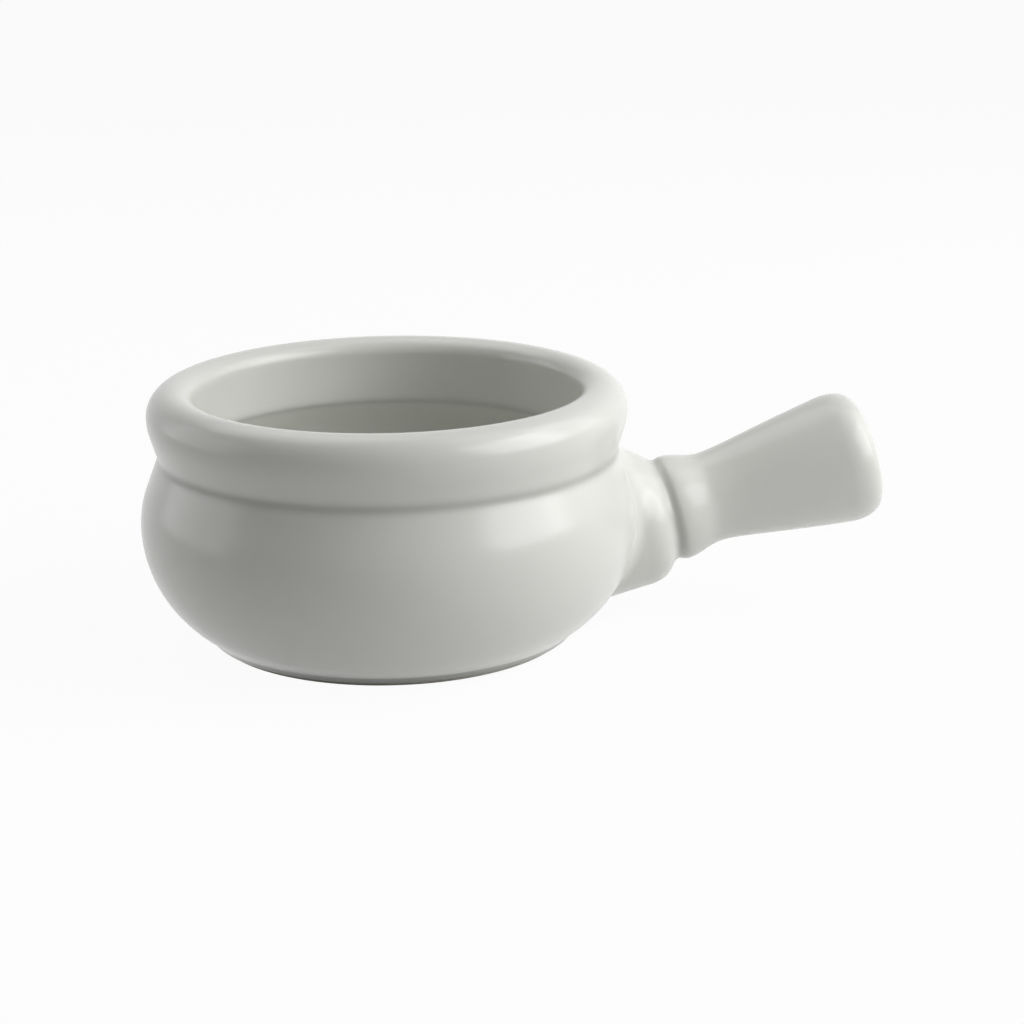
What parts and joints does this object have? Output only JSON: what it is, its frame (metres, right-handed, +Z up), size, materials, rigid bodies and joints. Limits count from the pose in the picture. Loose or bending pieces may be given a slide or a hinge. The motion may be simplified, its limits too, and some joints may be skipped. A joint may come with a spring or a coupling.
{
  "type": "handled onion soup crock",
  "caption": "Round footed soup crock with a full belly, pinched neck and rolled rim, and a flared hollow stick handle luted to its side.",
  "frame": {"origin": "centre of the foot ring, on the bowl's axis, in the plane that the crock stands on", "axes": "+Z up along the bowl's axis, +X along the handle as seen from above, +Y to the left of it"},
  "size_m": [0.1898, 0.125, 0.0645],
  "materials": {
    "clay": "fired off-white bisque, fine and matt, bare only on the ring that it stands on and inside it",
    "slip": "fired slip of the same body, wiped smooth, all under the glaze",
    "glaze": "white glaze with a soft gloss, slightly uneven where it pooled in the creases"
  },
  "bodies": {
    "root": {"bowl": "clay", "handle": "clay", "joint_slip": "slip", "outer_glaze": "glaze", "liner_glaze": "glaze"}
  },
  "joints": []
}
